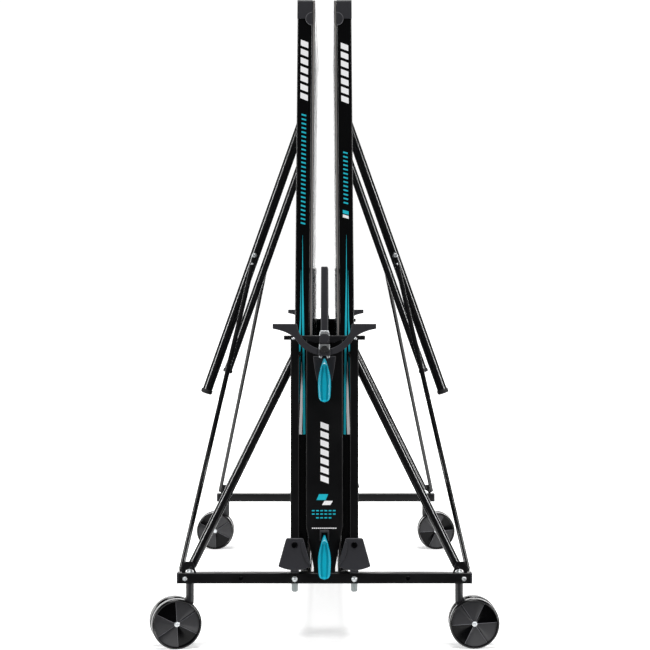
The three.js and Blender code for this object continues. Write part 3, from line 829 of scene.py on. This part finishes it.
def flank_lip(side):
    """A lens between the inner flank and a curve that bulges towards the eye."""
    inner = -side
    top, low = SLIDER_HIGH[2] - 10, SLIDER_LOW[2] + 17.5
    curve = bend([17, top], [15, top - 32], [35.5, low + 3], 14)
    flank = np.array([[37.5, low + 1.5], [23, top + 2]])
    return np.vstack([curve, flank]) * [inner, 1] + [side * PIVOT[0], 0]


EYE = [[7.2, -1.4], [7.2, 0.2], [6.8, 0.7], [4.6, 0.7], [4.2, 0.2], [4, -0.8], [0, -0.8], [0, -1.4]]
PIVOT_BOSS = [[0, 0], [9, 0], [9, 16], [8.4, 16.8], [0, 16.8]]

for tail, end, side, side_name in QUARTERS:
    body, x = f"sliders_{side_name}", side * PIVOT[0]
    collar = box_outline(x - 10, x + 10, SLIDER_LOW[2], SLIDER_LOW[2] + 14)
    height = (SLIDER_LOW[2] + 8, PIVOT[2] + 5)
    wall = box_outline(x + side * 10.4, x + side * 14.9, *height)
    back = box_outline(x - side * 10.4, x + side * 14.9, *height)
    add_plates(tail, end, body, [
        ("shoe_shield", shield(side), SHOE_BACK, SHOE_FACE - 1, polyamide, 2, "slider"),
        ("shoe_lip", flank_lip(side), SHOE_FACE - 2, SHOE_FACE + 1, polyamide, 0.9),
        ("shoe_collar", collar, SHOE_BACK, SHOE_BACK + 5, polyamide, 1),
        ("shoe_wall", wall, COLUMN_Y - 14.9, SHOE_BACK + 1, polyamide, 1),
        ("shoe_back", back, COLUMN_Y - 14.9, COLUMN_Y - 10.4, polyamide, 1),
    ])
    add_piece(f"shoe_eye_{tail}", turned(EYE, [x, end * SHOE_FACE, PIVOT[2] - 2], [0, end, 0]), gloss_abs,
              body)
    add_piece(f"pivot_boss_{tail}", turned(PIVOT_BOSS, [x, end * (COLUMN_Y - 14), PIVOT[2]], [0, -end, 0]),
              gloss_abs, body)
print("sliders: 4 shoes of 7 pieces")

# %% [markdown]
# ## Half tables
#
# A half table is worked out flat, in its own directions: along from the net end, down from the playing
# surface, and across. Its base then stands it upright with its slight lean. The aprons are pressings
# with a C-shaped section, made like the cover. The board is a pale core between two dark skins. Where the
# core shows along the board's edge, its pale grey is partly the bare edge and partly a painted highlight line.

# %% Boards and aprons
BOARD = 6
SKIN = 1.3
APRON_TOP = BOARD + 0.3
APRON_LOW = np.ptp(corners("side_apron_rear_right") @ HALVES["right"][1][1]) + APRON_TOP
APRON_SHEET = 1.5
APRON_WIDE = 20
WALL = APRON_SHEET / 2

REACH = EDGE - APRON_WIDE - 0.3
SECTION = pressed(soft_path([[APRON_TOP + WALL, -APRON_WIDE], [APRON_TOP + WALL, -WALL],
                             [APRON_LOW - WALL, -WALL], [APRON_LOW - WALL, -APRON_WIDE]], 2.5), APRON_SHEET)


def on_half(name, shells, look, side_name, node=None, edge=0):
    """A piece of a half table, named after its side and set in that half's own directions."""
    add_piece(f"{name}_{side_name}", shells, look, f"half_{side_name}", node and f"{node}_{side_name}",
              HALVES[side_name], edge)


for side_name in SIDES:
    core = prism(box_outline(0, HALF_LENGTH, SKIN, BOARD - SKIN), -EDGE, EDGE, axis=2)
    # The pale core shows as a line along the board's edge: partly the bare edge, partly a painted highlight.
    on_half("board_core_and_edge_highlight", core, board_core_and_edge_highlight, side_name, "board")
    for name, top, look in (("playing", 0, melamine), ("under", BOARD - SKIN, laminate)):
        skin = prism(box_outline(0, HALF_LENGTH, top, top + SKIN), -EDGE, EDGE, axis=2)
        on_half(f"{name}_skin", skin, look, side_name, edge=0.2)
    for end_name, end in ENDS.items():
        channel = prism(SECTION * [1, end] + [0, end * EDGE], 0, HALF_LENGTH, axis=0)
        on_half(f"side_channel_{end_name}", channel, apron_enamel, side_name, f"side_apron_{end_name}")
    for where, along, facing in (("net", 0, -1), ("outer", HALF_LENGTH, 1)):
        channel = prism((SECTION * [1, facing])[:, ::-1] + [along, 0], -REACH, REACH, axis=2)
        on_half(f"{where}_channel", channel, apron_enamel, side_name, f"{where}_end_apron")
print(f"half tables: board {BOARD} mm, aprons {APRON_LOW - APRON_TOP:.1f} mm deep")

# %% Lines on the playing surface
LINE = 20
INK = 0.12
lines = [box_outline(1.5, HALF_LENGTH - 1.5, y0, y1) for y0, y1 in
         ((1.5 - EDGE, LINE - EDGE), (EDGE - LINE, EDGE - 1.5), (-1.5, 1.5))]
lines.append(box_outline(HALF_LENGTH - LINE, HALF_LENGTH - 1.5, LINE - EDGE, EDGE - LINE))
for side_name in SIDES:
    on_half("white_lines", [prism(line, -INK, 0.02) for line in lines], line_ink, side_name)
print("lines: two side lines, one end line, one centre line on each half")

# %% [markdown]
# Moulded guards wrap the two outer corners of each half. On the apron's face a round bumper, half hidden
# by the board, sits on the edge of the guard with a pale grey rim around it. The rim's pale grey is a
# painted highlight on the bumper's rounded edge. A stretcher crosses the underside and holds the leg
# shaft between two cheeks.

# %% Corner guards and stretchers
GUARD = 44
BUMPER = 15.3


def half_disc(centre, radius, reach):
    """Points on a circle from minus reach to plus reach, in degrees from straight down the apron."""
    angle = np.radians(np.linspace(-reach, reach, 28))
    return centre + radius * np.column_stack([np.sin(angle), np.cos(angle)])


for side_name, (origin, directions) in HALVES.items():
    hinge_along, hinge_depth, _ = directions @ (joint_place(f"leg_swing_{side_name}") - origin)
    cheek = np.vstack([[[-12, 19], [12, 19]], arc([0, hinge_depth], 12, 0, 180, 20)]) + [hinge_along, 0]
    centre = [HALF_LENGTH - GUARD, APRON_TOP + 0.4]
    disc = half_disc(centre, BUMPER, 90)
    # The rim is a thin band of pale grey plastic, which is a painted highlight along the bumper's rounded edge.
    rim = np.vstack([half_disc(centre, BUMPER + 0.3, 88), half_disc(centre, BUMPER - 0.4, 88)[::-1]])
    wrap = pressed(soft_path([[HALF_LENGTH - GUARD, EDGE + 1], [HALF_LENGTH + 1, EDGE + 1],
                              [HALF_LENGTH + 1, EDGE - GUARD]], 6), 1.8)
    for end_name, end in ENDS.items():
        guard = prism(wrap * [1, end], APRON_TOP, APRON_LOW + 0.5)
        for name, shells, look, edge in (
            ("corner_guard", guard, polyamide, 0.5),
            ("bumper", prism(disc, end * (EDGE + 0.1), end * (EDGE + 2.6), axis=2), polyamide, 0.5),
            ("bumper_painted_highlight_rim", prism(rim, end * (EDGE + 0.1), end * (EDGE + 2.9), axis=2), rim_painted_highlight, 0.2),
            ("shaft_cheek", prism(cheek, end * 458, end * 462, axis=2), powder_coat, 0.8),
        ):
            on_half(f"{name}_{end_name}", shells, look, side_name, edge=edge)
    bar = soft_path([[-11, APRON_TOP + 0.2], [-11, 19], [11, 19], [11, APRON_TOP + 0.2]], 3)
    bar = pressed(bar, 2) + [hinge_along, 0]
    on_half("stretcher", prism(bar, -REACH, REACH, axis=2), powder_coat, side_name, "leg_stretcher")
print(f"stretchers {hinge_along:.0f} mm from the net end")

# %% [markdown]
# ## Marks on the aprons
#
# Real aprons carry their maker's decoration. Here the marks are plain: slanted bars, dashes, a two-tone
# pair of bars and a long spear of teal and white. Each is cut vinyl film, modelled 0.15 mm thick.

# %% Vinyl marks
FILM = 0.15


def slanted(along0, along1, across0, across1, slant):
    """A parallelogram: the far edge is moved along by the slant."""
    return np.array([[along0, across0], [along1, across0], [along1 + slant, across1],
                     [along0 + slant, across1]], float)


def bars(start, stop, count, across0, across1, slant, fill=0.66):
    """Slanted bars at an even pitch, each taking a share of the pitch."""
    pitch = (stop - start) / count
    return [slanted(start + i * pitch, start + (i + fill) * pitch, across0, across1, slant)
            for i in range(count)]


def strip(rows):
    """An outline from rows of place along, near edge and far edge: up the near edges, back down the far
    ones."""
    along, near, far = np.array(rows, float).T
    return np.vstack([np.column_stack([along, near]), np.column_stack([along, far])[::-1]])


SPEAR = {
    "inner": ("teal", [[325, 14.2, 20], [446, 16.3, 21.7], [530, 18.4, 23], [603, 20, 25.2],
                       [700, 23, 25.4], [805, 25, 25.3]]),
    "outer": ("teal", [[325, 31.3, 31.5], [384, 30.4, 32.2], [446, 29.6, 33.8], [483, 28, 34.6],
                       [530, 27.6, 34.4], [603, 27.4, 29.8], [720, 28, 28.4]]),
    "heart": ("white", [[325, 22.7, 30], [384, 21.6, 28.2], [446, 22.4, 26.6], [500, 25, 25.4]]),
}
DASHES = {"left": (830, 1101, 26), "right": (882, 1013, 13)}

for side_name, side in SIDES.items():
    start, stop, count = DASHES[side_name]
    marks = {
        "name_bars": ("white", bars(1128, 1276, 7, 15.5, 33.5, -side * 7)),
        "dashes": ("teal", bars(start, stop, count, 19, 30, -side * 3, 0.36)),
    }
    if side_name == "right":
        marks["badge_teal"] = ("teal", [slanted(858, 866, 17, 31, -4)])
        marks["badge_white"] = ("white", [slanted(848, 855, 17, 31, -4)])
    for name, (tone, rows) in SPEAR.items():
        marks[f"spear_{name}"] = (tone, [strip(rows)])
    for end_name, end in ENDS.items():
        for name, (tone, outlines) in marks.items():
            films = [prism(outline, end * EDGE, end * (EDGE + FILM), axis=2) for outline in outlines]
            on_half(f"mark_{name}_{end_name}", films, VINYL["apron", tone], side_name)

for end_name, end in ENDS.items():
    marks = {
        "name_bars": ("white", [outline[:, ::-1] * [-end, 1] for outline in
                                bars(398, 546, 7, -9.5, 10, -7)]),
        "badge_teal": ("teal", [np.array([[-19, 352], [-13, 366], [9, 366], [3, 352]])]),
        "badge_white": ("white", [np.array([[-6, 340], [0, 350], [20, 350], [14, 340]])]),
        "dashes": ("teal", [box_outline(x, x + 6.5, z, z + 3) for z, xs in
                            ((325, range(-30, 21, 10)), (317, range(-30, 21, 10)),
                             (308, range(-20, 11, 10))) for x in xs]),
        "thin_line": ("white", [box_outline(x, x + 3.4, 283.5, 286) for x in np.arange(-30, 28, 4.6)]),
    }
    for name, (tone, outlines) in marks.items():
        films = [prism(outline, end * COVER_FACE, end * (COVER_FACE + FILM)) for outline in outlines]
        add_piece(f"cover_mark_{name}_{end_name}", films, VINYL["cover", tone], "trolley")
print("marks: 5 kinds on each left apron, 7 on each right one, 5 on each cover")

# %% [markdown]
# ## Legs, arms and rods
#
# All are round tubes, so all are turned along the middle line found in the CAD. Legs end in a moulded
# foot, arms and rods in plugs. Where a rod meets a leg a zinc bolt holds it.

# %% Round tubes
LEG, ARM, ROD = 12.5, 10.75, 6


def capped_tube(radius, length, mouth=1.0):
    """Profile of a tube with softly broken edges at both ends."""
    return [[0, 0], [radius - mouth, 0], [radius, mouth], [radius, length - mouth],
            [radius - mouth, length], [0, length]]


PAD = [[0, 0], [12, 0], [14, 1.5], [14.6, 4], [14.6, 9], [13.6, 10.5], [0, 10.5]]

for tail, end, side, side_name in QUARTERS:
    legs = f"legs_{side_name}"
    foot, top = middle_line(f"leg_{tail}")
    tube = [[r, h + 9 if h < 5 else h] for r, h in capped_tube(LEG, np.linalg.norm(top - foot))]
    add_piece(f"leg_tube_{tail}", turned(tube, foot, top - foot, 48), gloss_paint, legs, f"leg_{tail}")
    add_piece(f"leg_foot_{tail}", turned(PAD, foot, top - foot), black_rubber, legs)
    for name, radius in (("rocker_arm", ARM), ("link_rod", ROD)):
        foot, top = middle_line(f"{name}_{tail}")
        tube = turned(capped_tube(radius, np.linalg.norm(top - foot)), foot, top - foot, 48)
        add_piece(f"{name}_tube_{tail}", tube, gloss_paint, f"{name}s_{side_name}", f"{name}_{tail}")
    bolt = top + [0, end * ROD * 0.8, 0]
    add_piece(f"rod_bolt_{tail}", hex_bolt(6.4, bolt, [0, end, 0], 5), zinc, legs)
    rivet = top - 24 * unit(top - foot) + [0, end * ROD * 0.9, 0]
    add_piece(f"rod_rivet_{tail}", dome_bolt(3.4, rivet, [0, end, 0]), zinc, f"link_rods_{side_name}")

for side_name in SIDES:
    low, high = box(f"leg_shaft_{side_name}")
    middle = (low + high) / 2
    shaft = turned(capped_tube(8, high[1] - low[1]), [middle[0], low[1], middle[2]], [0, 1, 0])
    add_piece(f"shaft_tube_{side_name}", shaft, powder_coat, f"legs_{side_name}", f"leg_shaft_{side_name}")
print("tubes: 4 legs, 4 arms, 4 rods, 2 shafts")

# %% [markdown]
# ## Levers
#
# Each lever is a long drop with a rim, a hollow middle and a flat facet at its neck. It is a stack of
# cross-sections: the half width swells as a power of the sine along the length, and the face is lowest
# in the middle, so light runs down it in three bands.

# %% Drop-shaped levers


def lever_rings(low, high, end):
    """Cross-sections from the neck down. The half width is a curve that rises from the neck, times two
    that fall towards the foot. The neck has a ridge, which gives way to a trough between rims."""
    share = np.linspace(0, 1, 60)
    neck = (0.11 + 0.89 * np.sin(np.minimum(share / 0.62, 1) * np.pi / 2) ** 0.95)
    foot = np.sqrt(np.clip(1 - np.clip((share - 0.86) / 0.14, 0, 1) ** 2.4, 0, 1))
    taper = 1 - 0.16 * np.clip((share - 0.62) / 0.38, 0, 1) ** 1.5
    half = 15.5 * neck * taper * (0.3 + 0.7 * foot)
    depth = high[1] - low[1]
    rise = np.clip((share - 0.14) / 0.08, 0, 1) * np.clip((1 - share) / 0.05, 0, 1)
    across = np.array([-1, -0.96, -0.87, -0.81, -0.6, 0, 0.6, 0.81, 0.87, 0.96, 1, 0.94, -0.94])
    level = np.array([0.4, 0.84, 1, 0.98, 0.5, 0.66, 0.5, 0.98, 1, 0.84, 0.4, 0, 0])
    flat = np.array([0.4, 0.5, 0.6, 0.66, 0.8, 1, 0.8, 0.66, 0.6, 0.5, 0.4, 0, 0])
    mixed = flat + (level - flat) * rise[:, None]
    x = half[:, None] * across
    y = end * (low[1] if end > 0 else -high[1]) + end * depth * mixed
    z = np.broadcast_to((high[2] - share * (high[2] - low[2]))[:, None], x.shape)
    return np.dstack([x, np.broadcast_to(y, x.shape), z])


for end_name, end in ENDS.items():
    for place in ("upper", "lower"):
        node = f"{place}_lever_{end_name}"
        low, high = box(node)
        add_piece(f"{place}_drop_{end_name}", lever_rings(low, high, end), teal_abs, node, node, crease=50)
print("levers: 4 drops")

# %% [markdown]
# ## Casters
#
# A caster is a stem, a web and twin wheels. The hub cap of each wheel is a fan of six blades between thin
# spokes, whose pale grey is a painted highlight along each rib. Each blade is a polar grid whose height is a
# formula of its angle. Four are satin and fall away towards one spoke, and two opposite ones are sunk and
# glossy, so the six differ in brightness.

# %% Casters
STEM = 9.5
WHEEL_TURN = {"left": 33, "right": -56}
BLADES = {"raised": (0, 2, 3, 5), "sunk": (1, 4)}


def blade(first_angle, radius, inner, front, back, sunk):
    """One sixth of a hub cap about its own axis, which is the third direction, as two fans of rings from
    its inner to its outer edge. A raised blade falls away by 3 mm towards its first spoke, by the square
    of what is left of its angle, and a sunk one lies 3 mm low and dips towards the middle."""
    share = np.linspace(0.015, 0.985, 13)
    angle = first_angle + share * np.pi / 3
    reach = np.linspace(inner, radius, 7)
    fall = 3 + 1.5 * np.sin(share * np.pi) if sunk else 3 * np.clip(1 - share / 0.35, 0, 1) ** 2
    top = np.dstack([reach[:, None] * np.cos(angle), reach[:, None] * np.sin(angle),
                     np.broadcast_to(front - fall, (7, 13))])
    under = top * [1, 1, 0] + [0, 0, back]
    return np.concatenate([top, under[:, ::-1]], axis=1)


def spokes(radius, inner, front, phase):
    """Six thin ribs between the blades, each a half-round bar from the hub to the rim."""
    turn = np.linspace(0, np.pi, 7)
    half = np.column_stack([0.4 * np.cos(turn), 0.5 * np.sin(turn)])
    ribs = []
    for turn in phase + np.arange(6) * np.pi / 3:
        along, across = [np.cos(turn), np.sin(turn), 0], [-np.sin(turn), np.cos(turn), 0]
        section = half[:, :1] * across + [0, 0, front] + half[:, 1:] * [0, 0, 1]
        ribs.append(np.array([section + np.multiply(along, reach) for reach in (inner, radius)]))
    return ribs


for tail, end, side, side_name in QUARTERS:
    centre, stem = joint_place(f"roll_{tail}"), joint_place(f"swivel_{tail}")
    axle = unit(joints[f"roll_{tail}"]["axis"])
    trail = unit((centre - stem) * [1, 1, 0])
    caster = ([stem[0], stem[1], 0], np.array([trail, np.cross([0, 0, 1], trail), [0, 0, 1]]))
    body = f"caster_{tail}"
    stem_low, stem_top = 108, RAIL_LOW[2] - 0.3
    pole = [[0, stem_low], [STEM, stem_low], [STEM, 124.4], [STEM - 0.8, 125], [STEM, 125.6],
            [STEM, stem_top - 1], [STEM - 1, stem_top], [0, stem_top]]
    add_piece(f"caster_stem_{tail}", turned(pole, [0, 0, 0], [0, 0, 1]), hub_abs, body,
              f"caster_fork_{tail}", caster)
    reach = np.linalg.norm((centre - stem)[:2])
    radius = centre[2]
    web = np.vstack([
        [[-8.5, 118], [8.5, 118]],
        bend([reach - 6, 106], [reach + 22, 94], [reach + 18, radius], 12),
        arc([reach, radius], 18, 0, -180, 20)[1:], [[reach - 18, 80], [-8.5, 104]],
    ])
    add_piece(f"caster_web_{tail}", prism(web, -6.5, 6.5), hub_abs, body, base=caster, edge=1.5)
    gusset = prism(np.array([[7, 98], [20, 98], [7, 123]]), -8, 8)
    add_piece(f"caster_gusset_{tail}", gusset, hub_abs, body, base=caster, edge=0.6)
    wheels = f"wheels_{tail}"
    tyre_profile = [[53.6, 10], [57, 9.2], [59, 11], [radius, 14], [radius, 28.5], [59, 31],
                    [57.6, 33], [55.6, 33.8], [54.2, 33.2], [53.4, 31.5], [53.4, 20]]
    tyres, bolts, hubs = [], [], {"raised": [], "sunk": [], "spokes": []}
    for face in (-1, 1):
        tyres.append(turned([*tyre_profile, tyre_profile[0]], centre, axle * face, 72))
        first = unit(np.cross([0, 0, 1], axle))
        turn = np.array([first, np.cross(axle * face, first), axle * face])
        phase = math.radians(WHEEL_TURN[side_name])
        for kind, sixths in BLADES.items():
            for sixth in sixths:
                sector = blade(phase + sixth * np.pi / 3, 53.2, 5, 30, 12, kind == "sunk")
                hubs[kind].append(centre + sector @ turn)
        hubs["spokes"] += [centre + rib @ turn for rib in spokes(53.2, 5, 29.8, phase)]
        bolts += hex_bolt(6.2, centre + axle * face * 29.4, axle * face, 4.6)
    add_piece(f"tyre_pair_{tail}", tyres, tyre, wheels, f"twin_wheels_{tail}")
    # The spokes' pale grey is a painted highlight along each rib.
    for kind, look in (("raised", hub_abs), ("sunk", gloss_abs), ("spokes", spoke_grey_painted_highlight)):
        add_piece(f"hub_{kind}_{tail}", hubs[kind], look, wheels, crease=40)
    add_piece(f"hub_bolts_{tail}", bolts, zinc, wheels)
print("casters: 4 stems with twin wheels")

# %% [markdown]
# ## Room
#
# The floor is a sheet of white paper that starts just in front of the table. A glowing white card stands
# behind it, so surfaces seen at a glancing angle mirror white. The camera doesn't see the card itself, so
# it can't hide the table from a camera behind it. Everywhere else the room is dim to the surfaces, though
# white to the camera, and black paint keeps its depth.

# %% Paper, card and world


def stage_sheet(name, corner_rows, code, glow):
    """A flat four-cornered sheet of paper that belongs to the room, in metres."""
    (paper, _), shader, place = new_finish(name, "room", Base_Color=linear(code), Roughness=0.9,
                                           Emission_Color=linear(code), Emission_Strength=glow)
    mesh = bpy.data.meshes.new(name)
    mesh.from_pydata(corner_rows, [], [(0, 1, 2, 3)])
    mesh.materials.append(paper)
    sheet = bpy.data.objects.new(name, mesh)
    bpy.context.scene.collection.objects.link(sheet)
    return sheet


stage_sheet("paper_floor", [(-30, -0.98, 0), (30, -0.98, 0), (30, 40, 0), (-30, 40, 0)], "#fbfbfb", 0.5)
card = stage_sheet("glowing_card", [(-7, 8, 0.01), (7, 8, 0.01), (7, 8, 5), (-7, 8, 5)], "#ffffff", 1.0)
card.visible_camera = False

world = bpy.data.worlds.new("studio")
bpy.context.scene.world = world
world.use_nodes = True
tree = world.node_tree
ray = add_node(tree, "ShaderNodeLightPath").outputs["Is Camera Ray"]
strength = add_node(tree, "ShaderNodeMapRange", {"Value": ray, "To Min": 0.07, "To Max": 1.05})
tree.nodes["Background"].inputs["Color"].default_value = (1, 1, 1, 1)
tree.links.new(strength.outputs["Result"], tree.nodes["Background"].inputs["Strength"])
